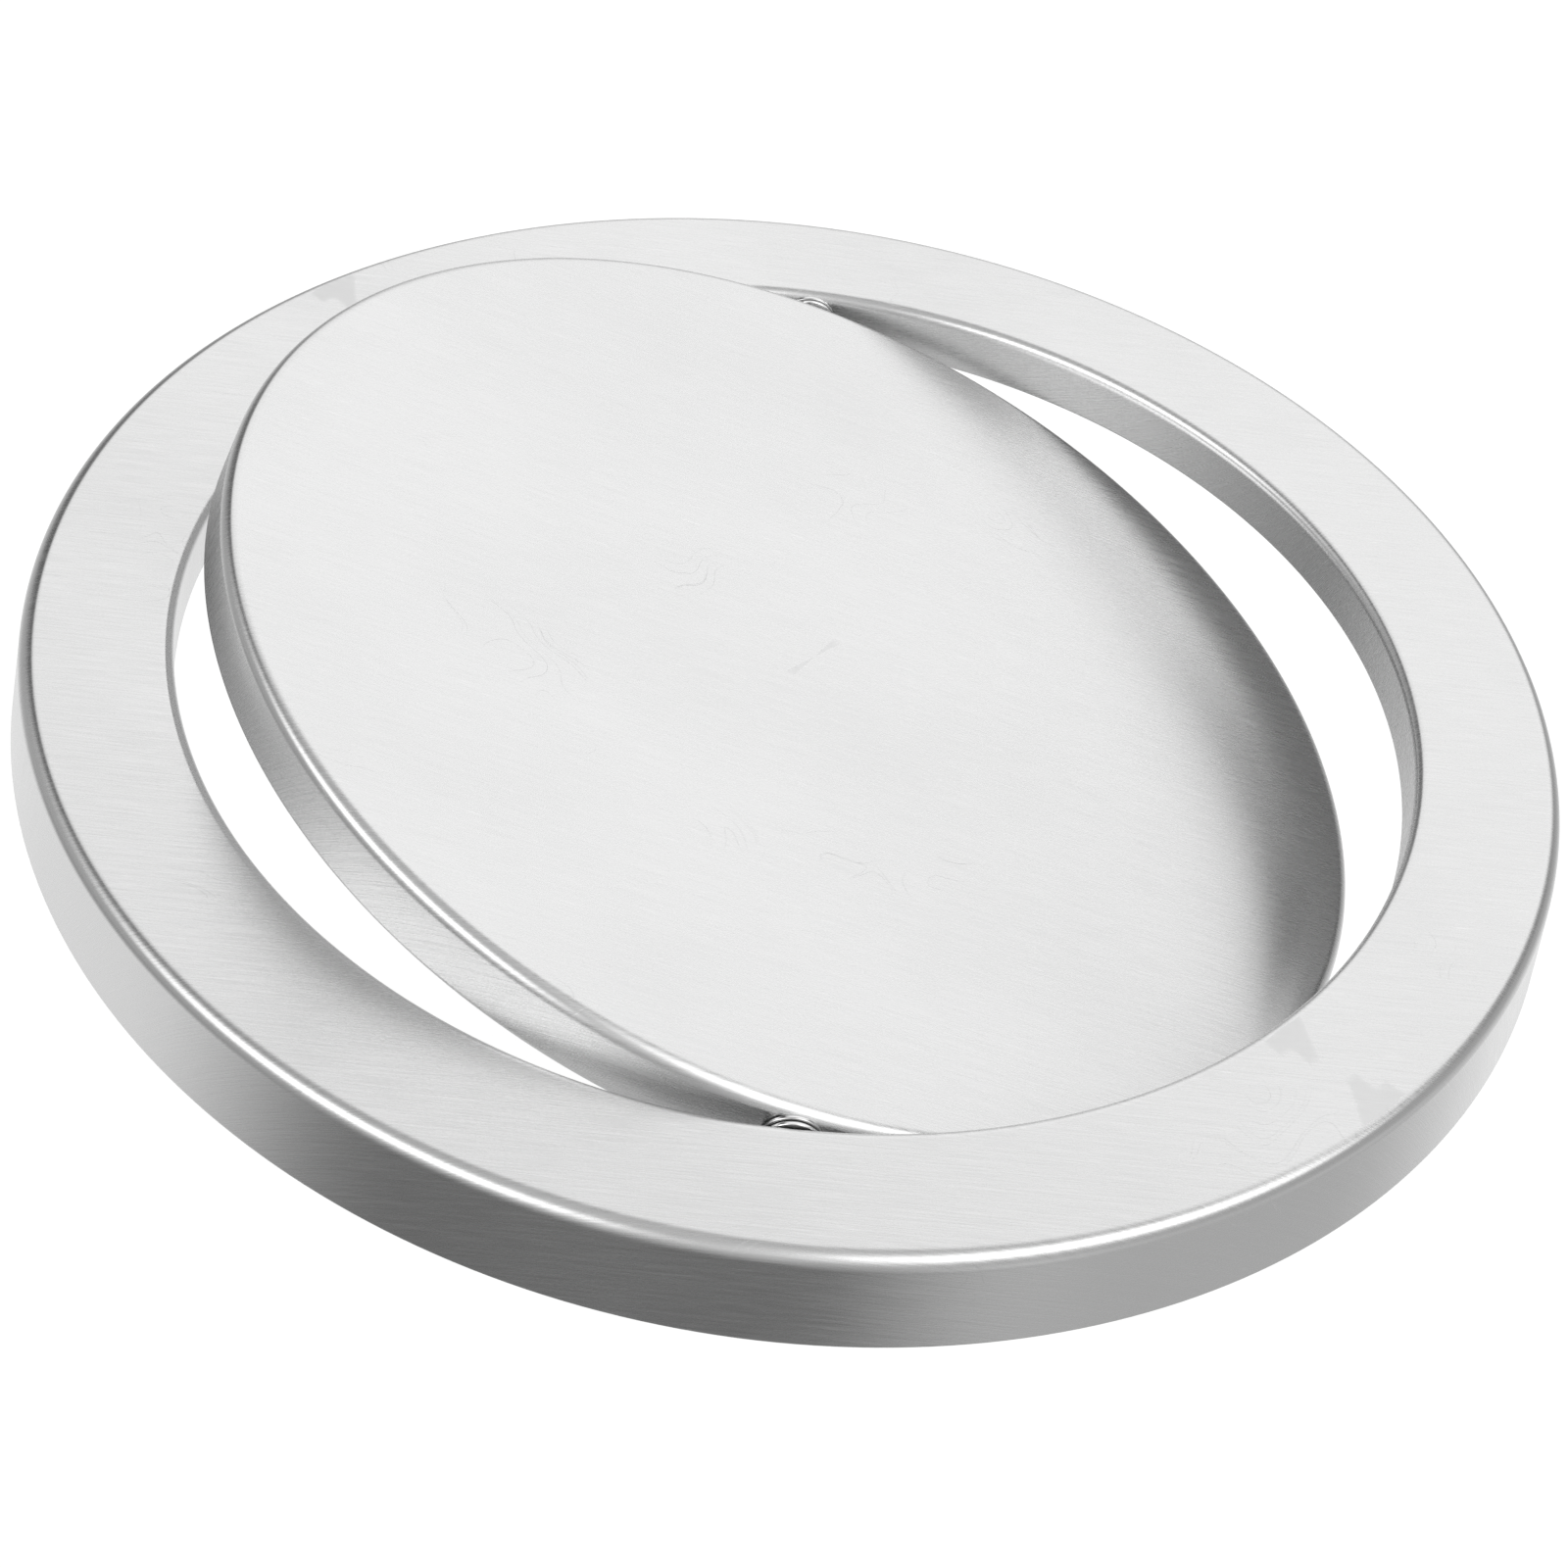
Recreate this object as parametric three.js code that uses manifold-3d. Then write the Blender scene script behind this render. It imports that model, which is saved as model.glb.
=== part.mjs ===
// Swing-flap lid for a round waste bin: a pressed ring and a flap that turns on two pins.
//
// Millimetres, +Z up. The origin is the middle of the pivot axis, on the ring's own axis.
// The pivot axis is Y, so the flap rises on one side of the YZ plane and sinks on the other.

import * as THREE from 'three';
import { mergeVertices } from 'three/addons/utils/BufferGeometryUtils.js';
import Module from 'manifold-3d';

// ---- Driving dimensions ----

const sheet = 0.8;               // thickness of the pressed sheet

const ringRadius = 131.6;        // outside of the skirt at its bottom edge
const ringHeight = 18;           // from the skirt's bottom edge to the flat top
const skirtDraft = 1.6;          // the skirt is this much narrower at the top
const skirtBend = 2.7;           // outside radius of the bend from skirt to top
const openingRadius = 105.2;     // inside of the collar
const collarBend = 1.8;          // outside radius of the bend from top to collar
const collarDepth = 10.4;        // the collar reaches this far below the top

const flapRadius = 102.95;
const flapThickness = 11.8;
const flapBend = 2.2;            // outside radius of the bend round the flap's face
const lipWidth = 2.8;            // crimped lip that holds the back plate
const lipBend = 1.1;
const flapTilt = 15.8;           // degrees, the -X side up

const pivotDepth = 5.2;          // pivot axis below the ring's top and the closed flap's

const pinRadius = 2;
const pinHeadRadius = 2.9;
const pinHeadHeight = 1.5;
const boreRadius = 2.15;         // bore of the eyelets and the washers
const eyeletBarrel = 2.95;       // outside of the barrel that goes through the sheet
const eyeletHole = 3.1;          // hole in the sheet
const eyeletFlange = 4.9;
const eyeletTail = 3.5;          // flared end that holds the eyelet in the sheet
const flangeThickness = 0.6;
const washerThickness = 0.3;
const washerRadius = 4.5;

const weightLength = 180;
const weightWidth = 60;
const weightThickness = 3.5;
const weightCorner = 8;
const rivetSpacing = 120;
const rivetRadius = 2.4;
const rivetHeadRadius = 4.2;
const rivetHeadHeight = 1.1;

const seam = 0.2;                // gap left between pieces that touch
const running = 0.15;            // gap between pieces that turn against each other

const aroundLarge = 72;          // facets round the ring and the flap
const aroundSmall = 24;          // facets round a pin, an eyelet or a rivet
const aroundBend = 4;            // facets across a bend

// ---- Worked out from them ----

const ringTop = pivotDepth;
const ringBottom = ringTop - ringHeight;
const flapTop = pivotDepth;
const flapBottom = flapTop - flapThickness;
const plateTop = flapBottom + 2 * sheet + seam;
const weightTop = plateTop + seam + weightThickness;
const skirtSlope = skirtDraft / ringHeight;

// Distances along the pivot axis from the middle of the ring, going inwards.
const wallGap = 0.25;                                // flat flange against the curved wall
const collarFlangeOuter = openingRadius - wallGap;
const collarFlangeInner = collarFlangeOuter - flangeThickness;
const washerOuter = collarFlangeInner - seam / 2;
const washerInner = washerOuter - washerThickness;
const flapFlangeOuter = washerInner - running;
const flapFlangeInner = flapFlangeOuter - flangeThickness;
const collarTailInner = openingRadius + sheet + seam;
const tailThickness = 0.5;
const flapTailOuter = flapRadius - sheet - wallGap;
const pinHeadInner = collarTailInner + tailThickness + seam;
const clipThickness = 0.6;
const clipRadius = 3.7;
const clipOuter = flapTailOuter - tailThickness - running;
const grooveRadius = 1.6;
const pinEnd = clipOuter - clipThickness - 2.2;

// ---- Materials ----

function steel(name, color, roughness) {
  const material = new THREE.MeshStandardMaterial({ color, roughness, metalness: 1 });
  material.name = name;
  return material;
}

const brushed = steel('brushed_steel', 0xc9cacb, 0.36);
const bright = steel('bright_steel', 0xdedfe0, 0.18);
const plain = steel('plain_steel', 0xa2a3a4, 0.5);

// ---- Shape helpers ----

const wasm = await Module();
wasm.setup();

const onAxis = (radius) => radius < 1e-6;

// Points of an arc round (x, y), from one angle to another in degrees, ends included.
function arc(x, y, radius, from, to, steps = aroundBend) {
  const points = [];
  for (let i = 0; i <= steps; i += 1) {
    const angle = THREE.MathUtils.degToRad(from + (to - from) * i / steps);
    points.push([x + radius * Math.cos(angle), y + radius * Math.sin(angle)]);
  }
  return points;
}

function circle(radius) {
  const ring = arc(0, 0, radius, 0, 360, aroundLarge).slice(1);
  return ring.map(([x, y]) => new THREE.Vector2(x, y));
}

// A solid turned about Z. The profile is a list of [radius, height], counter-clockwise
// with the radius to the right. It closes on itself unless it starts on the axis.
function turned(profile, around) {
  const points = profile.map(([radius, height]) => new THREE.Vector2(radius, height));
  if (!onAxis(profile[0][0])) points.push(points[0].clone());
  return new THREE.LatheGeometry(points, around).rotateX(Math.PI / 2);
}

function solidOf(geometry) {
  const bare = geometry.clone();
  bare.deleteAttribute('normal');
  bare.deleteAttribute('uv');
  const merged = mergeVertices(bare, 1e-4);
  const index = new Uint32Array(merged.index.array);
  const triVerts = index.filter((_, i) => {
    const first = i - i % 3;
    const [a, b, c] = [index[first], index[first + 1], index[first + 2]];
    return a !== b && b !== c && c !== a;
  });
  const vertProperties = new Float32Array(merged.attributes.position.array);
  return new wasm.Manifold(new wasm.Mesh({ numProp: 3, vertProperties, triVerts }));
}

function geometryOf(solid) {
  const mesh = solid.getMesh();
  const geometry = new THREE.BufferGeometry();
  geometry.setAttribute('position', new THREE.BufferAttribute(mesh.vertProperties, 3));
  geometry.setIndex(new THREE.BufferAttribute(mesh.triVerts, 1));
  geometry.computeVertexNormals();
  return geometry;
}

// Cuts a hole for an eyelet through the wall at the front and at the rear, along Y.
function withPivotHoles(geometry, wallRadius) {
  const length = 2 * (wallRadius + 5);
  const drill = new THREE.CylinderGeometry(eyeletHole, eyeletHole, length, aroundSmall);
  return geometryOf(solidOf(geometry).subtract(solidOf(drill)));
}

function mesh(name, geometry, material) {
  const piece = new THREE.Mesh(geometry, material);
  piece.name = name;
  return piece;
}

// ---- The ring ----

function ringCover() {
  const topRadius = ringRadius - skirtDraft;
  const skirtTop = ringTop - skirtBend;
  const bendRadius = topRadius + skirtSlope * skirtBend;
  const collarTop = ringTop - collarBend;
  const collarBottom = ringTop - collarDepth;
  const profile = [
    [ringRadius - sheet, ringBottom],
    [ringRadius, ringBottom],
    ...arc(bendRadius - skirtBend, skirtTop, skirtBend, 0, 90),
    ...arc(openingRadius + collarBend, collarTop, collarBend, 90, 180),
    [openingRadius, collarBottom],
    [openingRadius + sheet, collarBottom],
    ...arc(openingRadius + collarBend, collarTop, collarBend - sheet, 180, 90),
    ...arc(bendRadius - skirtBend, skirtTop, skirtBend - sheet, 90, 0),
  ];
  return withPivotHoles(turned(profile, aroundLarge), openingRadius);
}

// ---- The flap, in its own frame: the pivot axis is Y, the closed flap is level ----

function flapCover() {
  const inner = flapRadius - sheet;
  const profile = [
    [0, flapTop - sheet],
    ...arc(flapRadius - flapBend, flapTop - flapBend, flapBend - sheet, 90, 0, 2),
    ...arc(flapRadius - lipBend, flapBottom + lipBend, lipBend - sheet, 0, -90, 2),
    [flapRadius - lipWidth, flapBottom + sheet],
    [flapRadius - lipWidth, flapBottom],
    ...arc(flapRadius - lipBend, flapBottom + lipBend, lipBend, -90, 0, 3),
    ...arc(flapRadius - flapBend, flapTop - flapBend, flapBend, 0, 90),
    [0, flapTop],
  ];
  return withPivotHoles(turned(profile, aroundLarge), flapRadius);
}

function addRivetHoles(shape) {
  for (const side of [-1, 1]) {
    const hole = new THREE.Path();
    hole.absarc(0, side * rivetSpacing / 2, rivetRadius + seam, 0, 2 * Math.PI, true);
    shape.holes.push(hole);
  }
}

function slab(shape, bottom, thickness, curveSegments = 1) {
  const options = { depth: thickness, bevelEnabled: false, curveSegments };
  return new THREE.ExtrudeGeometry(shape, options).translate(0, 0, bottom);
}

function backPlate() {
  const shape = new THREE.Shape();
  shape.setFromPoints(circle(flapRadius - sheet - 2 * seam));
  addRivetHoles(shape);
  return slab(shape, plateTop - sheet, sheet, aroundSmall / 2);
}

function counterweight() {
  const x = weightWidth / 2 - weightCorner;
  const y = weightLength / 2 - weightCorner;
  const shape = new THREE.Shape();
  shape.absarc(x, y, weightCorner, 0, Math.PI / 2, false);
  shape.absarc(-x, y, weightCorner, Math.PI / 2, Math.PI, false);
  shape.absarc(-x, -y, weightCorner, Math.PI, 1.5 * Math.PI, false);
  shape.absarc(x, -y, weightCorner, 1.5 * Math.PI, 2 * Math.PI, false);
  addRivetHoles(shape);
  return slab(shape, weightTop - weightThickness, weightThickness, aroundSmall / 2);
}

// A rivet along Z with a domed head below the plate and one above the weight.
function rivet() {
  const lower = plateTop - sheet - seam;
  const upper = weightTop + seam;
  const edge = 0.3;
  const profile = [
    [0, lower - rivetHeadHeight],
    [rivetHeadRadius * 0.55, lower - rivetHeadHeight * 0.85],
    [rivetHeadRadius * 0.88, lower - rivetHeadHeight * 0.5],
    [rivetHeadRadius, lower - edge],
    [rivetHeadRadius, lower],
    [rivetRadius, lower],
    [rivetRadius, upper],
    [rivetHeadRadius, upper],
    [rivetHeadRadius, upper + edge],
    [rivetHeadRadius * 0.7, upper + rivetHeadHeight],
    [0, upper + rivetHeadHeight],
  ];
  return turned(profile, aroundSmall);
}

// ---- The pivots. Each is turned about Z with Z as its distance from the ring's middle ----

// An eyelet: a flange at one end, a barrel, and a flared tail at the other.
function eyelet(flangeFace, flangeBack, tailBack, tailFace) {
  const edge = 0.25 * Math.sign(flangeFace - flangeBack);
  const tailEdge = Math.sign(tailFace - tailBack) * 0.15;
  const profile = [
    [boreRadius, flangeFace],
    [eyeletFlange - Math.abs(edge), flangeFace],
    [eyeletFlange, flangeFace - edge],
    [eyeletFlange, flangeBack],
    [eyeletBarrel, flangeBack],
    [eyeletBarrel, tailBack],
    [eyeletTail, tailBack + tailEdge],
    [eyeletTail - 0.2, tailFace],
    [boreRadius, tailFace],
  ];
  return turned(flangeFace < tailFace ? profile : profile.reverse(), aroundSmall);
}

function washer() {
  const edge = 0.08;
  const profile = [
    [boreRadius, washerInner],
    [washerRadius - edge, washerInner],
    [washerRadius, washerInner + edge],
    [washerRadius, washerOuter - edge],
    [washerRadius - edge, washerOuter],
    [boreRadius, washerOuter],
  ];
  return turned(profile, aroundSmall);
}

// The headed pin, with a groove for its clip near the inner end.
function pivotPin() {
  const chamfer = 0.4;
  const slack = 0.1;
  const grooveOuter = clipOuter + slack;
  const grooveInner = clipOuter - clipThickness - slack;
  const headOuter = pinHeadInner + pinHeadHeight;
  const profile = [
    [0, pinEnd],
    [pinRadius - chamfer, pinEnd],
    [pinRadius, pinEnd + chamfer],
    [pinRadius, grooveInner],
    [grooveRadius, grooveInner],
    [grooveRadius, grooveOuter],
    [pinRadius, grooveOuter],
    [pinRadius, pinHeadInner],
    [pinHeadRadius, pinHeadInner],
    [pinHeadRadius, headOuter - 0.6],
    [pinHeadRadius * 0.8, headOuter - 0.2],
    [pinHeadRadius * 0.4, headOuter],
    [0, headOuter],
  ];
  return turned(profile, aroundSmall);
}

// An E-shaped clip: an open ring that bears on the groove with three lobes.
function retainingClip() {
  const bearing = grooveRadius + seam / 2;
  const relief = bearing + 0.9;
  const mouth = 50;
  const lobe = 24;
  const last = 360 - mouth;
  const outline = [
    ...arc(0, 0, clipRadius, mouth, last, 16),
    ...arc(0, 0, bearing, last, last - lobe, 2),
    ...arc(0, 0, relief, last - lobe, 180 + lobe / 2, 5),
    ...arc(0, 0, bearing, 180 + lobe / 2, 180 - lobe / 2, 2),
    ...arc(0, 0, relief, 180 - lobe / 2, mouth + lobe, 5),
    ...arc(0, 0, bearing, mouth + lobe, mouth, 2),
  ];
  const shape = new THREE.Shape(outline.map(([x, y]) => new THREE.Vector2(x, y)));
  return slab(shape, clipOuter - clipThickness, clipThickness);
}

// ---- The assembly ----

// Lays pieces made along Z onto the pivot axis, towards +Y at the rear and -Y at the front.
function alongPivot(end, pieces) {
  const group = new THREE.Group();
  group.rotation.z = end === 'rear' ? 0 : Math.PI;
  for (const piece of pieces) {
    piece.name += `_${end}`;
    piece.rotation.x = -Math.PI / 2;
    group.add(piece);
  }
  return group;
}

const collarEyelet = eyelet(
  collarFlangeInner, collarFlangeOuter, collarTailInner, collarTailInner + tailThickness,
);
const flapEyelet = eyelet(
  flapFlangeOuter, flapFlangeInner, flapTailOuter, flapTailOuter - tailThickness,
);

const lid = new THREE.Group();
lid.add(mesh('ring_cover', ringCover(), brushed));

const flap = new THREE.Group();
flap.rotation.y = THREE.MathUtils.degToRad(flapTilt);
flap.add(
  mesh('flap_cover', flapCover(), brushed),
  mesh('flap_back_plate', backPlate(), plain),
  mesh('counterweight', counterweight(), plain),
);
lid.add(flap);

for (const end of ['front', 'rear']) {
  flap.add(alongPivot(end, [mesh('flap_eyelet', flapEyelet, bright)]));

  lid.add(alongPivot(end, [
    mesh('collar_eyelet', collarEyelet, bright),
    mesh('thrust_washer', washer(), bright),
    mesh('pivot_pin', pivotPin(), plain),
    mesh('retaining_clip', retainingClip(), plain),
  ]));

  const weightRivet = mesh(`weight_rivet_${end}`, rivet(), plain);
  weightRivet.position.y = (end === 'rear' ? 1 : -1) * rivetSpacing / 2;
  flap.add(weightRivet);
}

export default lid;
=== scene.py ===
"""Looks of a swing-flap bin lid: a pressed ring and a flap on two pins, in brushed stainless steel.

Metres, +Z up. The origin is the middle of the pivot axis, which is Y. The flap rises on the -X
side. Angles are in degrees until they are used. Azimuth 0 is +X and azimuth 90 is +Y.
"""
from math import atan2, cos, degrees, hypot, pi, radians, sin

import bmesh
import bpy
from mathutils import Matrix, Vector


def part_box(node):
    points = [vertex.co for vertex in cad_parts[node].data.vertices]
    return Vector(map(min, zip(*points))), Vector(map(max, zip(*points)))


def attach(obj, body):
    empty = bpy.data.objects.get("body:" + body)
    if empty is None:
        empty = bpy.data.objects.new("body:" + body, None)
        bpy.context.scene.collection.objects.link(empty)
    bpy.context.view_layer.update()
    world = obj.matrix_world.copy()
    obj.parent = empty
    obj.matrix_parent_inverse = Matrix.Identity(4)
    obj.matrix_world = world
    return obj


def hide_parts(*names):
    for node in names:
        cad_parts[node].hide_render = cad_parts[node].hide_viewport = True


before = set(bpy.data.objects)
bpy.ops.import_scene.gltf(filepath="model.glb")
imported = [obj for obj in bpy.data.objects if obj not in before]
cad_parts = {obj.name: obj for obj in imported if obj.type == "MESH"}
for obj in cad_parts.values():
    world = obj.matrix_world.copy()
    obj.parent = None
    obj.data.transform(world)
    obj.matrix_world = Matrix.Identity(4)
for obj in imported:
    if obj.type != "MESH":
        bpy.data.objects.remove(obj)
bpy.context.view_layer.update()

MM = 0.001

# ---- Sizes that the frame gives ----

ring_lo, ring_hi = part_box("ring_cover")
flap_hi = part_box("flap_cover")[1]
RING_RADIUS = ring_hi.x
RING_TOP = ring_hi.z
RING_BOTTOM = ring_lo.z
FLAP_RADIUS = flap_hi.y
FLAP_TOP = RING_TOP                      # flush with the ring when the flap is closed

# ---- Sizes that the frame's boxes don't show ----

SHEET = 0.8 * MM
SKIRT_DRAFT = 1.6 * MM
SKIRT_BEND = 2.7 * MM
OPENING_RADIUS = 105.2 * MM
COLLAR_BEND = 1.8 * MM
COLLAR_DEPTH = 10.4 * MM
FLAP_THICKNESS = 11.8 * MM
FLAP_BEND = 2.2 * MM
LIP_WIDTH = 2.8 * MM
LIP_BEND = 1.1 * MM
FLAP_TILT = 15.8
SEAM = 0.2 * MM

CUT_EDGE = 0.14 * MM                     # rounding on a sheared edge of the sheet
SUPPORT = 0.25 * MM                      # from a bend to the loop that keeps the flat flat
STRIP = 4 * MM                           # about the width of a strip of faces across a flat
CORNER = 35                              # an edge with a sharper turn than this isn't smoothed

EYELET_HOLE = 3.1 * MM
EYELET_FLANGE = 4.9 * MM
EYELET_TAIL = 3.5 * MM
WASHER_RADIUS = 4.5 * MM
WALL_GAP = 0.25 * MM                     # flat flange against the curved wall
DRILL = 10 * MM                          # length of the tool that cuts a hole
BORE = 2.15 * MM
BARREL = 2.95 * MM
PIN_RADIUS = 2 * MM
GROOVE_RADIUS = 1.6 * MM
RIVET_SPACING = 120 * MM
RIVET_RADIUS = 2.4 * MM
WEIGHT_WIDTH = 60 * MM
WEIGHT_THICKNESS = 3.5 * MM

AROUND = 288                             # facets round the ring and the flap
AROUND_SMALL = 64                        # facets round a pin, an eyelet or a rivet

FLAP_BOTTOM = FLAP_TOP - FLAP_THICKNESS
PLATE_TOP = FLAP_BOTTOM + 2 * SHEET + SEAM
WEIGHT_TOP = PLATE_TOP + SEAM + WEIGHT_THICKNESS
TILT = Matrix.Rotation(radians(FLAP_TILT), 4, "Y")


# ---- Helpers ----

def in_scene(name, data):
    piece = bpy.data.objects.new(name, data)
    bpy.context.scene.collection.objects.link(piece)
    return piece


def empty_tree(data):
    """Turns on the nodes of a material or a world and removes those it starts with."""
    data.use_nodes = True
    data.node_tree.nodes.clear()
    return data.node_tree


def add(tree, kind, inputs=None, **settings):
    """A new node, with its settings, and its inputs set to a value or linked to a socket."""
    node = tree.nodes.new(kind)
    for key, value in settings.items():
        setattr(node, key, value)
    for key, value in (inputs or {}).items():
        if isinstance(value, bpy.types.NodeSocket):
            tree.links.new(value, node.inputs[key])
        else:
            node.inputs[key].default_value = value
    return node


def calc(tree, operation, a, b=0.0):
    return add(tree, "ShaderNodeMath", {0: a, 1: b}, operation=operation).outputs[0]


def remap(tree, value, from_lo, from_hi, to_lo, to_hi, smooth=False):
    node = add(
        tree,
        "ShaderNodeMapRange",
        {"Value": value, "From Min": from_lo, "From Max": from_hi, "To Min": to_lo, "To Max": to_hi},
        interpolation_type="SMOOTHSTEP" if smooth else "LINEAR",
    )
    return node.outputs[0]


def noise(tree, vector, scale=1.0, detail=2.0, roughness=0.5):
    settings = {
        "Vector": vector,
        "Scale": scale,
        "Detail": detail,
        "Roughness": roughness,
    }
    return add(tree, "ShaderNodeTexNoise", settings).outputs["Fac"]


def stretched(tree, vector, along, across, offset=0.0):
    """The brush coordinates scaled along and across the hairlines, in features per metre."""
    settings = {"Vector": vector, "Location": (offset, offset, 0.0), "Scale": (along, across, 1.0)}
    return add(tree, "ShaderNodeMapping", settings).outputs[0]


# ---- Materials ----

LOW, HIGH = 0.3, 0.7                     # most of a noise's values lie between these


def metal(name, tone, roughness):
    """Starts a metal material and returns it with its tree and its shader node."""
    material = bpy.data.materials.new(name)
    tree = empty_tree(material)
    shader = add(
        tree,
        "ShaderNodeBsdfPrincipled",
        {"Base Color": (tone, tone, tone, 1.0), "Metallic": 1.0, "Roughness": roughness},
    )
    output = add(tree, "ShaderNodeOutputMaterial")
    tree.links.new(shader.outputs[0], output.inputs["Surface"])
    return material, tree, shader


def brush_vector(tree):
    return add(tree, "ShaderNodeUVMap", uv_map="brush").outputs[0]


def grey(tree, value):
    return add(tree, "ShaderNodeCombineColor", {0: value, 1: value, 2: value}).outputs[0]


def wire(tree, shader, name, value):
    tree.links.new(value, shader.inputs[name])


def blended(tree, a, b, share_of_b):
    return add(tree, "ShaderNodeMix", {0: share_of_b, 2: a, 3: b}, data_type="FLOAT").outputs[0]


def scratches(tree, brush, offset):
    """Sparse hair-thin handling marks in any direction: 1 on a mark and 0 elsewhere."""
    wander = noise(tree, stretched(tree, brush, 30, 30, offset), detail=2.0)
    bent = add(tree, "ShaderNodeVectorMath", {0: brush, 1: wander}, operation="ADD").outputs["Vector"]
    place = stretched(tree, bent, 13, 13, offset)
    cells = add(
        tree,
        "ShaderNodeTexVoronoi",
        {"Vector": place, "Scale": 1.0},
        feature="DISTANCE_TO_EDGE",
        voronoi_dimensions="2D",
    )
    line = remap(tree, cells.outputs["Distance"], 0.0008, 0.0022, 1.0, 0.0)
    patchy = noise(tree, stretched(tree, brush, 34, 34, offset + 17), detail=1.0)
    return calc(tree, "MULTIPLY", line, remap(tree, patchy, 0.62, 0.7, 0.0, 1.0))


def brushed_steel(name, offset, tone=0.685, roughness=0.27, anisotropy=0.8):
    """Hairline-brushed sheet. The lines follow U of the brush coordinates."""
    material, tree, shader = metal(name, tone, roughness)
    brush = brush_vector(tree)
    fine = noise(tree, stretched(tree, brush, 90, 2700, offset), detail=3.0, roughness=0.65)
    medium = noise(tree, stretched(tree, brush, 26, 1100, offset + 3), detail=2.0)
    cloud = noise(tree, stretched(tree, brush, 18, 22, offset + 11), detail=4.0)
    dashes = noise(tree, stretched(tree, brush, 190, 2300, offset + 13), detail=1.0)
    dash = remap(tree, dashes, 0.7, 0.78, 0.0, 1.0)
    scratch = scratches(tree, brush, offset + 5)

    lines = blended(tree, fine, medium, 0.2)
    shade = blended(tree, fine, medium, 0.4)
    base = remap(tree, shade, LOW, HIGH, tone * 0.983, tone * 1.017)
    stain = remap(tree, cloud, 0.35, 0.7, tone * 0.006, tone * -0.009)
    marks = calc(tree, "MULTIPLY", calc(tree, "ADD", dash, scratch), tone * 0.07)
    base = calc(tree, "ADD", calc(tree, "ADD", base, stain), marks)
    wire(tree, shader, "Base Color", grey(tree, base))

    rough = remap(tree, lines, LOW, HIGH, roughness - 0.05, roughness + 0.05)
    smudge = remap(tree, cloud, 0.35, 0.7, -0.008, 0.012)
    pointed = add(tree, "ShaderNodeNewGeometry").outputs["Pointiness"]
    opened = remap(tree, pointed, 0.505, 0.54, 0.0, 0.07)    # a bend stretches the lines open
    rough = calc(tree, "ADD", calc(tree, "ADD", rough, smudge), opened)
    wire(tree, shader, "Roughness", rough)

    height = calc(tree, "SUBTRACT", lines, calc(tree, "MULTIPLY", scratch, 0.5))
    bump = add(tree, "ShaderNodeBump", {"Height": height, "Strength": 0.6, "Distance": 0.045 * MM})
    wire(tree, shader, "Normal", bump.outputs[0])
    tangent = add(tree, "ShaderNodeTangent", direction_type="UV_MAP", uv_map="brush")
    wire(tree, shader, "Tangent", tangent.outputs[0])
    shader.inputs["Anisotropic"].default_value = anisotropy
    shader.inputs["Anisotropic Rotation"].default_value = 0.25
    return material


def mill_steel(name, tone=0.6, roughness=0.42):
    """Unbrushed sheet as it leaves the rolling mill: satin, with faint rolling lines along U."""
    material, tree, shader = metal(name, tone, roughness)
    brush = brush_vector(tree)
    grain = noise(tree, stretched(tree, brush, 220, 2600), detail=3.0, roughness=0.6)
    bands = noise(tree, stretched(tree, brush, 8, 420, 5), detail=3.0)
    mixed = blended(tree, grain, bands, 0.45)
    wire(tree, shader, "Base Color", grey(tree, remap(tree, mixed, LOW, HIGH, tone * 0.96, tone * 1.04)))
    wire(tree, shader, "Roughness", remap(tree, mixed, LOW, HIGH, roughness - 0.05, roughness + 0.05))
    bump = add(tree, "ShaderNodeBump", {"Height": grain, "Strength": 0.3, "Distance": 0.03 * MM})
    wire(tree, shader, "Normal", bump.outputs[0])
    return material


def turned_steel(name, tone, roughness, depth=0.1):
    """Metal with fine marks round its axis, as a lathe or a press tool leaves them."""
    material, tree, shader = metal(name, tone, roughness)
    brush = brush_vector(tree)
    marks = noise(tree, stretched(tree, brush, 150, 9000), detail=2.0)
    cloud = noise(tree, stretched(tree, brush, 400, 400, 4), detail=3.0)
    wire(tree, shader, "Base Color", grey(tree, remap(tree, cloud, LOW, HIGH, tone * 0.94, tone * 1.04)))
    wire(tree, shader, "Roughness", remap(tree, marks, LOW, HIGH, roughness - 0.05, roughness + 0.05))
    bump = add(tree, "ShaderNodeBump", {"Height": marks, "Strength": depth, "Distance": 0.03 * MM})
    wire(tree, shader, "Normal", bump.outputs[0])
    return material


def zinc_steel(name, tone=0.34, roughness=0.5):
    """Dull zinc plating over a rolled bar, for the weight that is closed in."""
    material, tree, shader = metal(name, tone, roughness)
    place = add(tree, "ShaderNodeTexCoord").outputs["Object"]
    grain = noise(tree, place, scale=1500.0, detail=4.0, roughness=0.65)
    patch = noise(tree, place, scale=70.0, detail=4.0)
    base = remap(tree, patch, 0.35, 0.65, tone * 0.85, tone * 1.15)
    wire(tree, shader, "Base Color", grey(tree, base))
    wire(tree, shader, "Roughness", remap(tree, patch, LOW, HIGH, roughness - 0.08, roughness + 0.1))
    bump = add(tree, "ShaderNodeBump", {"Height": grain, "Strength": 0.4, "Distance": 0.05 * MM})
    wire(tree, shader, "Normal", bump.outputs[0])
    return material


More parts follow.
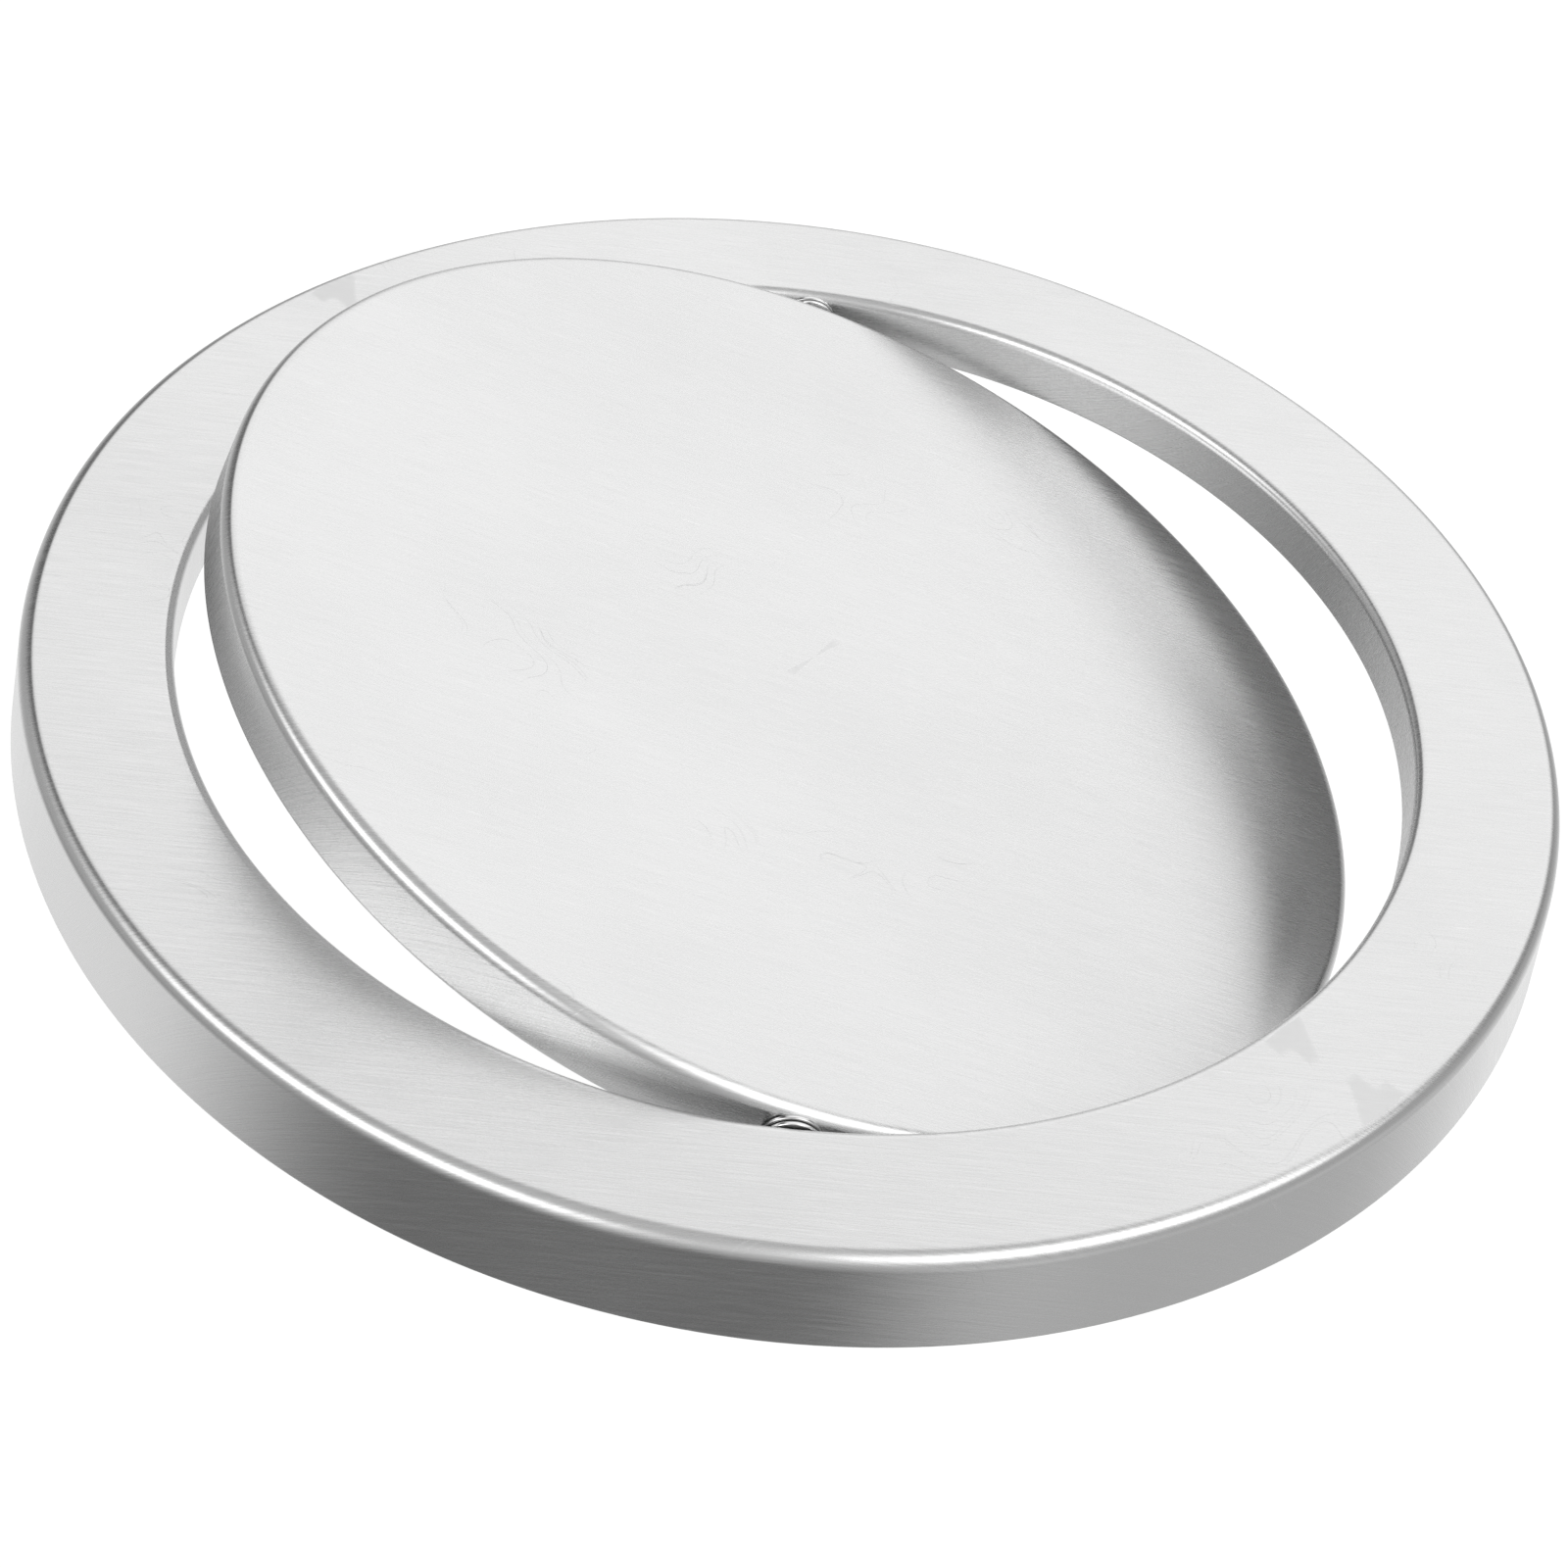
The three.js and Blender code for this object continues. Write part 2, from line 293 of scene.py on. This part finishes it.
RING_FACE = brushed_steel("ring_brushed_steel", 0.0)
FLAP_FACE = brushed_steel("flap_brushed_steel", 31.0)
MILL = mill_steel("mill_finish_steel")
PLATE = mill_steel("back_plate_steel", 0.58, 0.36)
CUT = turned_steel("cut_edge_steel", 0.55, 0.35)
NICKEL = turned_steel("nickel_plated_steel", 0.72, 0.16, 0.04)
WASHER = turned_steel("washer_steel", 0.42, 0.34)
PIN = turned_steel("pin_steel", 0.55, 0.28)
SPRING = turned_steel("spring_steel", 0.34, 0.36)
RIVET = turned_steel("rivet_steel", 0.6, 0.3)
ZINC = zinc_steel("zinc_plated_steel")


# ---- Profiles: lists of (radius, height, zone), where the zone is the strip after the point ----

FACE, INSIDE, EDGE = range(3)            # which material, and which way its marks run


def bend(radius_at, height_at, radius, start, end, zone, steps):
    """Points of a round bend about (radius_at, height_at), both ends included."""
    points = []
    for i in range(steps + 1):
        angle = radians(start + (end - start) * i / steps)
        points.append((radius_at + radius * cos(angle), height_at + radius * sin(angle), zone))
    return points


def straight(start, end, zone, pieces):
    """Points strictly between start and end, with a support loop next to each end."""
    run = hypot(end[0] - start[0], end[1] - start[1])
    shares = [SUPPORT / run] + [i / pieces for i in range(1, pieces)] + [1 - SUPPORT / run]
    return [
        (start[0] + (end[0] - start[0]) * s, start[1] + (end[1] - start[1]) * s, zone) for s in shares
    ]


def joined(*parts):
    """Runs of points joined by straight strips that take the zone of the run before."""
    points = []
    for part in parts:
        if points:
            last, first = points[-1], part[0]
            run = hypot(first[0] - last[0], first[1] - last[1])
            if run > 4 * SUPPORT:
                points += straight(last, first, last[2], max(1, round(run / STRIP)))
        points += part
    return points


def ring_profile():
    """The pressed ring's section, counter-clockwise from the skirt's bottom edge."""
    top_radius = RING_RADIUS - SKIRT_DRAFT
    slope = SKIRT_DRAFT / (RING_TOP - RING_BOTTOM)
    bend_radius = top_radius + slope * SKIRT_BEND
    skirt_at = bend_radius - SKIRT_BEND
    skirt_z = RING_TOP - SKIRT_BEND
    collar_at = OPENING_RADIUS + COLLAR_BEND
    collar_z = RING_TOP - COLLAR_BEND
    collar_bottom = RING_TOP - COLLAR_DEPTH
    collar_outer = OPENING_RADIUS + SHEET
    return joined(
        bend(RING_RADIUS - SHEET + CUT_EDGE, RING_BOTTOM + CUT_EDGE, CUT_EDGE, 180, 270, EDGE, 3),
        bend(RING_RADIUS - CUT_EDGE, RING_BOTTOM + CUT_EDGE, CUT_EDGE, 270, 360, EDGE, 3)[:-1],
        [(RING_RADIUS, RING_BOTTOM + CUT_EDGE, FACE)],
        bend(skirt_at, skirt_z, SKIRT_BEND, 0, 90, FACE, 16),
        bend(collar_at, collar_z, COLLAR_BEND, 90, 180, FACE, 14),
        [(OPENING_RADIUS, collar_bottom + CUT_EDGE, EDGE)],
        bend(OPENING_RADIUS + CUT_EDGE, collar_bottom + CUT_EDGE, CUT_EDGE, 180, 270, EDGE, 3)[1:],
        bend(collar_outer - CUT_EDGE, collar_bottom + CUT_EDGE, CUT_EDGE, 270, 360, EDGE, 3)[:-1],
        [(collar_outer, collar_bottom + CUT_EDGE, INSIDE)],
        bend(collar_at, collar_z, COLLAR_BEND - SHEET, 180, 90, INSIDE, 6),
        bend(skirt_at, skirt_z, SKIRT_BEND - SHEET, 90, 0, INSIDE, 6),
        [(RING_RADIUS - SHEET, RING_BOTTOM + CUT_EDGE, EDGE)],
    )


def flap_profile():
    """The flap's cover, from the middle of its inside round the crimped lip to the face's middle."""
    bend_at = FLAP_RADIUS - FLAP_BEND
    bend_z = FLAP_TOP - FLAP_BEND
    lip_at = FLAP_RADIUS - LIP_BEND
    lip_z = FLAP_BOTTOM + LIP_BEND
    lip_end = FLAP_RADIUS - LIP_WIDTH
    return joined(
        [(0.0, FLAP_TOP - SHEET, INSIDE)],
        bend(bend_at, bend_z, FLAP_BEND - SHEET, 90, 0, INSIDE, 5),
        bend(lip_at, lip_z, LIP_BEND - SHEET, 0, -90, INSIDE, 5),
        bend(lip_end + CUT_EDGE, FLAP_BOTTOM + SHEET - CUT_EDGE, CUT_EDGE, 90, 180, EDGE, 3),
        bend(lip_end + CUT_EDGE, FLAP_BOTTOM + CUT_EDGE, CUT_EDGE, 180, 270, EDGE, 3)[:-1],
        [(lip_end + CUT_EDGE, FLAP_BOTTOM, FACE)],
        bend(lip_at, lip_z, LIP_BEND, -90, 0, FACE, 8),
        bend(bend_at, bend_z, FLAP_BEND, 0, 90, FACE, 14),
        [(0.0, FLAP_TOP, FACE)],
    )


# ---- Mesh helpers ----

def finish_mesh(name, mesh, materials, placed=None):
    """An object from a bmesh, smooth shaded apart from its real corners."""
    data = bpy.data.meshes.new(name)
    bmesh.ops.recalc_face_normals(mesh, faces=mesh.faces)
    mesh.to_mesh(data)
    mesh.free()
    if placed is not None:
        data.transform(placed)
    for material in materials:
        data.materials.append(material)
    data.shade_smooth()
    data.set_sharp_from_angle(angle=radians(CORNER))
    return in_scene(name, data)


def revolved(name, profile, materials, around, placed=None, closed=True):
    """Turns a profile about Z. materials holds one material per zone, by zone number."""
    mesh = bmesh.new()
    layer = mesh.loops.layers.uv.new("brush")
    rows = []
    for radius, height, _ in profile:
        if radius < 1e-7:
            rows.append([mesh.verts.new((0.0, 0.0, height))] * around)
            continue
        steps = [2 * pi * j / around for j in range(around)]
        rows.append([mesh.verts.new((radius * cos(a), radius * sin(a), height)) for a in steps])

    # Sheet is brushed straight before it is pressed, so on a skirt the lines run on as they would
    # on the flat blank: the distance from the middle is measured along the section.
    run = [0.0]
    for (r0, z0, _), (r1, z1, _) in zip(profile, profile[1:] + profile[:1]):
        run.append(run[-1] + hypot(r1 - r0, z1 - z0))
    flat = max(range(len(profile)), key=lambda i: (profile[i][1], -i))
    blank_edge = profile[flat][0] + run[flat]

    widest = max(r for r, _, _ in profile)
    used = sorted(set(zone for _, _, zone in profile))
    count = len(profile) if closed else len(profile) - 1
    for i in range(count):
        k = (i + 1) % len(profile)
        zone = profile[i][2]
        for j in range(around):
            n = (j + 1) % around
            corners = [(i, j), (i, j + 1), (k, j + 1), (k, j)]
            ring = [rows[i][j], rows[i][n], rows[k][n], rows[k][j]]
            kept = [x for x in range(4) if ring[x] not in ring[:x]]
            face = mesh.faces.new([ring[x] for x in kept])
            face.material_index = used.index(zone)
            for loop, x in zip(face.loops, kept):
                row, step = corners[x]
                radius = profile[row][0]
                angle = 2 * pi * step / around
                path = run[row if row >= i else len(profile)]
                if zone == EDGE:
                    loop[layer].uv = (angle * widest, path)
                else:
                    spread = blank_edge - path if zone == FACE else radius
                    loop[layer].uv = (spread * cos(angle), spread * sin(angle))
    return finish_mesh(name, mesh, [materials[zone] for zone in used], placed)


def drilled(piece, radius, centre, direction, length):
    """Cuts a round hole through a piece."""
    turn = Vector((0, 0, 1)).rotation_difference(Vector(direction)).to_matrix().to_4x4()
    mesh = bmesh.new()
    bmesh.ops.create_cone(
        mesh, cap_ends=True, segments=AROUND_SMALL, radius1=radius, radius2=radius, depth=length
    )
    data = bpy.data.meshes.new("drill")
    mesh.to_mesh(data)
    mesh.free()
    data.transform(Matrix.Translation(Vector(centre)) @ turn)
    drill = in_scene("drill", data)
    cut = piece.modifiers.new("hole", "BOOLEAN")
    cut.operation = "DIFFERENCE"
    cut.object = drill
    cut.solver = "EXACT"
    bpy.context.view_layer.update()
    result = bpy.data.meshes.new_from_object(
        piece.evaluated_get(bpy.context.evaluated_depsgraph_get())
    )
    piece.modifiers.clear()
    piece.data = result
    bpy.data.objects.remove(drill)
    return piece


def slab(name, outline, bottom, top, edge, material):
    """A flat blank cut to an outline of (x, y) points, with its edges eased."""
    mesh = bmesh.new()
    layer = mesh.loops.layers.uv.new("brush")
    lower = mesh.faces.new([mesh.verts.new((x, y, bottom)) for x, y in outline])
    walls = bmesh.ops.extrude_face_region(mesh, geom=[lower])
    raised = [v for v in walls["geom"] if isinstance(v, bmesh.types.BMVert)]
    bmesh.ops.translate(mesh, verts=raised, vec=(0, 0, top - bottom))
    bmesh.ops.recalc_face_normals(mesh, faces=mesh.faces)
    rims = [e for e in mesh.edges if abs(e.verts[0].co.z - e.verts[1].co.z) < 1e-9]
    bmesh.ops.bevel(mesh, geom=rims, offset=edge, segments=3, profile=0.5, affect="EDGES")
    for face in mesh.faces:
        for loop in face.loops:
            loop[layer].uv = loop.vert.co.xy
    return finish_mesh(name, mesh, [material])


def arc(x, y, radius, start, end, steps):
    angles = [radians(start + (end - start) * i / steps) for i in range(steps + 1)]
    return [(x + radius * cos(a), y + radius * sin(a)) for a in angles]


def on_body(piece, body, slot, *nodes):
    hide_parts(*nodes)
    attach(piece, body)
    return piece


# ---- The sheet parts ----

def ring_shell():
    ring = revolved("ring_shell", ring_profile(), [RING_FACE, MILL, CUT], AROUND)
    for side in (-1, 1):
        drilled(ring, EYELET_HOLE, (0, side * OPENING_RADIUS, 0), (0, 1, 0), DRILL)
    on_body(ring, "ring", "ring_sheet", "ring_cover")


def flap_shell():
    flap = revolved("flap_shell", flap_profile(), [FLAP_FACE, MILL, CUT], AROUND, closed=False)
    for side in (-1, 1):
        drilled(flap, EYELET_HOLE, (0, side * FLAP_RADIUS, 0), (0, 1, 0), DRILL)
    flap.data.transform(TILT)
    on_body(flap, "flap", "flap_sheet", "flap_cover")


def back_plate():
    """The disc that closes the flap's underside, held by the crimped lip."""
    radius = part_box("flap_back_plate")[1].y
    bottom = PLATE_TOP - SHEET
    profile = joined(
        [(0.0, bottom, INSIDE)],
        bend(radius - CUT_EDGE, bottom + CUT_EDGE, CUT_EDGE, 270, 360, EDGE, 3),
        bend(radius - CUT_EDGE, PLATE_TOP - CUT_EDGE, CUT_EDGE, 0, 90, INSIDE, 3),
        [(0.0, PLATE_TOP, INSIDE)],
    )
    plate = revolved("back_plate_disc", profile, [None, PLATE, CUT], AROUND, closed=False)
    for side in (-1, 1):
        centre = (0, side * RIVET_SPACING / 2, PLATE_TOP)
        drilled(plate, RIVET_RADIUS + SEAM, centre, (0, 0, 1), DRILL)
    plate.data.transform(TILT)
    on_body(plate, "flap", "back_plate_sheet", "flap_back_plate")


def weight_bar():
    corner = 8 * MM
    edge = 0.4 * MM
    half_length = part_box("counterweight")[1].y
    x = WEIGHT_WIDTH / 2 - corner
    y = half_length - corner
    outline = (
        arc(x, y, corner, 0, 90, 8)
        + arc(-x, y, corner, 90, 180, 8)
        + arc(-x, -y, corner, 180, 270, 8)
        + arc(x, -y, corner, 270, 360, 8)
    )
    bar = slab("weight_bar", outline, WEIGHT_TOP - WEIGHT_THICKNESS, WEIGHT_TOP, edge, ZINC)
    for side in (-1, 1):
        centre = (0, side * RIVET_SPACING / 2, WEIGHT_TOP)
        drilled(bar, RIVET_RADIUS + SEAM, centre, (0, 0, 1), DRILL)
    bar.data.transform(TILT)
    on_body(bar, "flap", "weight", "counterweight")


def rivet(end):
    """Domed head under the back plate, shank, and a flatter formed head on the weight."""
    under = PLATE_TOP - SHEET - SEAM
    over = WEIGHT_TOP + SEAM
    head = 4.2 * MM
    height = 1.1 * MM
    rounding = height / 2
    dome = (head**2 + height**2) / (2 * height)
    spread = degrees(atan2(head, dome - height))
    profile = (
        bend(0, under - height + dome, dome, -90, spread - 90, EDGE, 10)
        + [(RIVET_RADIUS, under, EDGE), (RIVET_RADIUS, over, EDGE), (head, over, EDGE)]
        + bend(head - rounding, over + rounding, rounding, 0, 90, EDGE, 5)
        + [(0.0, over + height, EDGE)]
    )
    piece = revolved(f"rivet_{end}", profile, [None, None, RIVET], AROUND_SMALL, closed=False)
    side = 1 if end == "rear" else -1
    piece.data.transform(TILT @ Matrix.Translation((0, side * RIVET_SPACING / 2, 0)))
    on_body(piece, "flap", "rivet", f"weight_rivet_{end}")


# ---- The pivots. Each is turned about Z, with Z as its distance from the ring's middle ----

def along_pivot(end):
    """Lays a piece made along Z onto the pivot axis, towards +Y at the rear and -Y in front."""
    return Matrix.Rotation(radians(-90 if end == "rear" else 90), 4, "X")


def reach(node, end):
    """How near and how far a CAD node lies along the pivot axis."""
    lo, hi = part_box(f"{node}_{end}")
    return (lo.y, hi.y) if end == "rear" else (-hi.y, -lo.y)


def turned_piece(name, profile, material, end, closed=True):
    materials = [None, None, material]
    return revolved(name, profile, materials, AROUND_SMALL, along_pivot(end), closed)


def eyelet_profile(face, back, tail_start, tail_face):
    """A flange with a rounded rim, a barrel, and a tail rolled over the sheet."""
    out = 1 if back > face else -1       # from the flange towards the tail
    rim = 0.22 * MM
    lead = 0.35 * MM                     # rounding from the flange into the bore
    ease = 0.1 * MM
    roll = 0.6                           # share of the tail's depth that its outside curls over
    lip = 0.25 * MM
    tail = EYELET_TAIL - BARREL
    depth = out * roll * abs(tail_face - tail_start)
    quarter = [radians(a) for a in range(0, 91, 15)]
    curl = [radians(a) for a in range(30, 91, 20)]
    section = [(BORE + lead * (1 - cos(a)), face + out * lead * (1 - sin(a))) for a in quarter]
    section += [
        (EYELET_FLANGE - rim + rim * sin(a), face + out * rim * (1 - cos(a))) for a in quarter
    ]
    section += [(EYELET_FLANGE, back - out * ease), (EYELET_FLANGE - ease, back)]
    section += [(BARREL, back), (BARREL, tail_start)]
    section += [(BARREL + tail * sin(a), tail_start + depth * (1 - cos(a))) for a in curl]
    section += [(EYELET_TAIL - lip, tail_face)]
    section += [(BORE + lead, tail_face), (BORE, tail_face - out * lead)]
    return [(r, z, EDGE) for r, z in section]


def pivot(end):
    near, far = reach("collar_eyelet", end)
    profile = eyelet_profile(near, OPENING_RADIUS - WALL_GAP, OPENING_RADIUS + SHEET + SEAM, far)
    piece = turned_piece(f"collar_bush_{end}", profile, NICKEL, end)
    on_body(piece, "ring", "eyelet", f"collar_eyelet_{end}")

    near, far = reach("flap_eyelet", end)
    profile = eyelet_profile(far, FLAP_RADIUS + WALL_GAP, FLAP_RADIUS - SHEET - WALL_GAP, near)
    piece = turned_piece(f"flap_bush_{end}", profile, NICKEL, end)
    on_body(piece, "flap", "eyelet", f"flap_eyelet_{end}")

    near, far = reach("thrust_washer", end)
    ease = 0.1 * MM
    profile = (
        [(BORE, near + ease, EDGE), (BORE + ease, near, EDGE)]
        + bend(WASHER_RADIUS - ease, near + ease, ease, -90, 0, EDGE, 4)
        + bend(WASHER_RADIUS - ease, far - ease, ease, 0, 90, EDGE, 4)
        + [(BORE + ease, far, EDGE), (BORE, far - ease, EDGE)]
    )
    piece = turned_piece(f"washer_{end}", profile, WASHER, end)
    on_body(piece, "ring", "washer", f"thrust_washer_{end}")

    pin(end)
    clip(end)


def pin(end):
    """Headed pin with a chamfered end and a groove for its clip."""
    near, far = reach("pivot_pin", end)
    clip_near, clip_far = reach("retaining_clip", end)
    slack = 0.1 * MM
    chamfer = 0.4 * MM
    head = 2.9 * MM
    seat = far - 1.5 * MM
    crown = 0.6 * MM                     # rise of the domed top of the head
    dome = (head**2 + crown**2) / (2 * crown)
    spread = degrees(atan2(head, dome - crown))
    profile = [
        (0.0, near, EDGE),
        (PIN_RADIUS - chamfer, near, EDGE),
        (PIN_RADIUS, near + chamfer, EDGE),
        (PIN_RADIUS, clip_near - slack, EDGE),
        (GROOVE_RADIUS, clip_near - slack, EDGE),
        (GROOVE_RADIUS, clip_far + slack, EDGE),
        (PIN_RADIUS, clip_far + slack, EDGE),
        (PIN_RADIUS, seat, EDGE),
        (head - slack, seat, EDGE),
        (head, seat + slack, EDGE),
    ]
    profile += bend(0, far - dome, dome, 90 - spread, 90, EDGE, 8)
    piece = turned_piece(f"pin_{end}", profile, PIN, end, closed=False)
    on_body(piece, "ring", "pin", f"pivot_pin_{end}")


def clip(end):
    """E-shaped clip: an open ring that bears on the groove with three lobes."""
    near, far = reach("retaining_clip", end)
    outer = 3.7 * MM
    bearing = GROOVE_RADIUS + SEAM / 2
    relief = bearing + 0.9 * MM
    edge = 0.08 * MM
    mouth = 50                           # half the opening, in degrees
    lobe = 24                            # width of a lobe, in degrees
    last = 360 - mouth
    outline = (
        arc(0, 0, outer, mouth, last, 40)
        + arc(0, 0, bearing, last, last - lobe, 5)
        + arc(0, 0, relief, last - lobe, 180 + lobe / 2, 12)
        + arc(0, 0, bearing, 180 + lobe / 2, 180 - lobe / 2, 5)
        + arc(0, 0, relief, 180 - lobe / 2, mouth + lobe, 12)
        + arc(0, 0, bearing, mouth + lobe, mouth, 5)
    )
    piece = slab(f"clip_{end}", outline, near, far, edge, SPRING)
    piece.data.transform(along_pivot(end))
    on_body(piece, "ring", "clip", f"retaining_clip_{end}")


ring_shell()
flap_shell()
back_plate()
weight_bar()
for pivot_end in ("front", "rear"):
    rivet(pivot_end)
    pivot(pivot_end)


# ---- Floor, light and camera ----

FLOOR_Z = -0.112                         # clear of the flap all the way round
FLOOR_HALF = 6.0
FLOOR_TONE = 0.2
FLOOR_GLOW = 0.9                         # its own light, which keeps it pale wherever it is seen


def floor():
    mesh = bmesh.new()
    bmesh.ops.create_grid(mesh, x_segments=2, y_segments=2, size=FLOOR_HALF)
    data = bpy.data.meshes.new("floor")
    mesh.to_mesh(data)
    mesh.free()
    data.transform(Matrix.Translation((0, 0, FLOOR_Z)))
    piece = in_scene("floor", data)
    material = bpy.data.materials.new("pale_floor")
    tree = empty_tree(material)
    colour = (FLOOR_TONE, FLOOR_TONE, FLOOR_TONE, 1.0)
    shade = add(tree, "ShaderNodeBsdfDiffuse", {"Color": colour})
    glow = add(tree, "ShaderNodeEmission", {"Color": (1, 1, 1, 1), "Strength": FLOOR_GLOW})
    both = add(tree, "ShaderNodeAddShader", {0: shade.outputs[0], 1: glow.outputs[0]})
    output = add(tree, "ShaderNodeOutputMaterial")
    tree.links.new(both.outputs[0], output.inputs["Surface"])
    data.materials.append(material)
    piece.visible_glossy = False
    piece.visible_shadow = False


def direction_to(azimuth, elevation):
    a, e = radians(azimuth), radians(elevation)
    return Vector((cos(e) * cos(a), cos(e) * sin(a), sin(e)))


def soft_box(tree, looking, azimuth, elevation, half_width, half_height, feather, strength):
    """Brightness of one soft box seen along a direction. Angles in degrees, from the object."""
    ahead = direction_to(azimuth, elevation)
    right = ahead.cross(Vector((0, 0, 1))).normalized()
    above = right.cross(ahead)

    def along(axis):
        node = add(tree, "ShaderNodeVectorMath", {0: looking, 1: axis}, operation="DOT_PRODUCT")
        return node.outputs["Value"]

    depth = calc(tree, "MAXIMUM", along(ahead), 0.001)
    mask = strength
    for axis, half in ((right, half_width), (above, half_height)):
        offset = calc(tree, "ABSOLUTE", calc(tree, "DIVIDE", along(axis), depth))
        angle = calc(tree, "ARCTANGENT", offset)
        edge = remap(tree, angle, radians(half - feather), radians(half + feather), 1.0, 0.0, True)
        mask = calc(tree, "MULTIPLY", edge, mask)
    return mask


# Name, azimuth, elevation, half width, half height, feather, strength. A soft box adds light, and a
# flag takes away a share of what lies behind it.
SOFT_BOXES = [
    ("rear wall", 77, 37, 29, 24, 4, 0.84),
    ("left key", 214, 38, 27, 14, 10, 2.1),
    ("right key", 326, 50, 26, 16, 9, 1.9),
    ("front fill", 264, 38, 28, 15, 9, 0.4),
    ("top", 0, 89, 22, 22, 12, 0.15),
    ("behind, low", 82, -42, 30, 20, 12, 0.15),
]
FLAGS = [
    ("left of the rear wall", 123, 28, 12, 24, 6, 0.8),
    ("right of the rear wall", 29, 33, 12, 17, 6, 0.5),
    ("above the rear wall", 85, 71, 45, 9, 5, 0.5),
    ("camera side, low", 248, -42, 38, 34, 14, 0.82),
    ("right side, low", 343, -46, 28, 26, 14, 0.42),
    ("left side, low", 178, -16, 26, 11, 8, 0.45),
]
WALLS = 0.48                             # brightness from this elevation up
WALLS_FROM = 5
GROUND = 0.92                            # brightness from this elevation down
GROUND_UP_TO = -35


def studio():
    world = bpy.data.worlds.new("studio")
    bpy.context.scene.world = world
    tree = empty_tree(world)
    looking = add(tree, "ShaderNodeTexCoord").outputs["Generated"]
    height = add(tree, "ShaderNodeSeparateXYZ", {0: looking}).outputs["Z"]
    lowest, highest = sin(radians(GROUND_UP_TO)), sin(radians(WALLS_FROM))
    total = remap(tree, height, lowest, highest, GROUND, WALLS, True)
    for _, *flag in FLAGS:
        shade = calc(tree, "SUBTRACT", 1.0, soft_box(tree, looking, *flag))
        total = calc(tree, "MULTIPLY", total, shade)
    for _, *box in SOFT_BOXES:
        total = calc(tree, "ADD", soft_box(tree, looking, *box), total)
    seen = add(tree, "ShaderNodeLightPath").outputs["Is Camera Ray"]
    strength = add(tree, "ShaderNodeMix", {0: seen, 2: total, 3: 1.0}, data_type="FLOAT").outputs[0]
    shader = add(tree, "ShaderNodeBackground", {"Color": (1, 1, 1, 1), "Strength": strength})
    output = add(tree, "ShaderNodeOutputWorld")
    tree.links.new(shader.outputs[0], output.inputs["Surface"])


CAMERA_AIM = Vector((-2.4, -26.1, -0.6)) * MM
CAMERA_AZIMUTH = -5.99                   # from straight in front, towards -X
CAMERA_ELEVATION = 42.71
CAMERA_DISTANCE = 573.9 * MM
CAMERA_ROLL = 10.31
CAMERA_LENS = 79.985


def camera():
    away = direction_to(270 + CAMERA_AZIMUTH, CAMERA_ELEVATION)
    level = (-away).cross(Vector((0, 0, 1))).normalized()
    upright = away.cross(level)
    roll = radians(CAMERA_ROLL)
    right = level * cos(roll) + upright * sin(roll)
    up = upright * cos(roll) - level * sin(roll)
    data = bpy.data.cameras.new("camera")
    data.lens = CAMERA_LENS
    data.clip_start = 0.01
    data.clip_end = 50
    piece = in_scene("camera", data)
    turn = Matrix((right, up, away)).transposed().to_4x4()
    piece.matrix_world = Matrix.Translation(CAMERA_AIM + away * CAMERA_DISTANCE) @ turn
    bpy.context.scene.camera = piece


floor()
studio()
camera()
bpy.context.scene.view_settings.view_transform = "Standard"
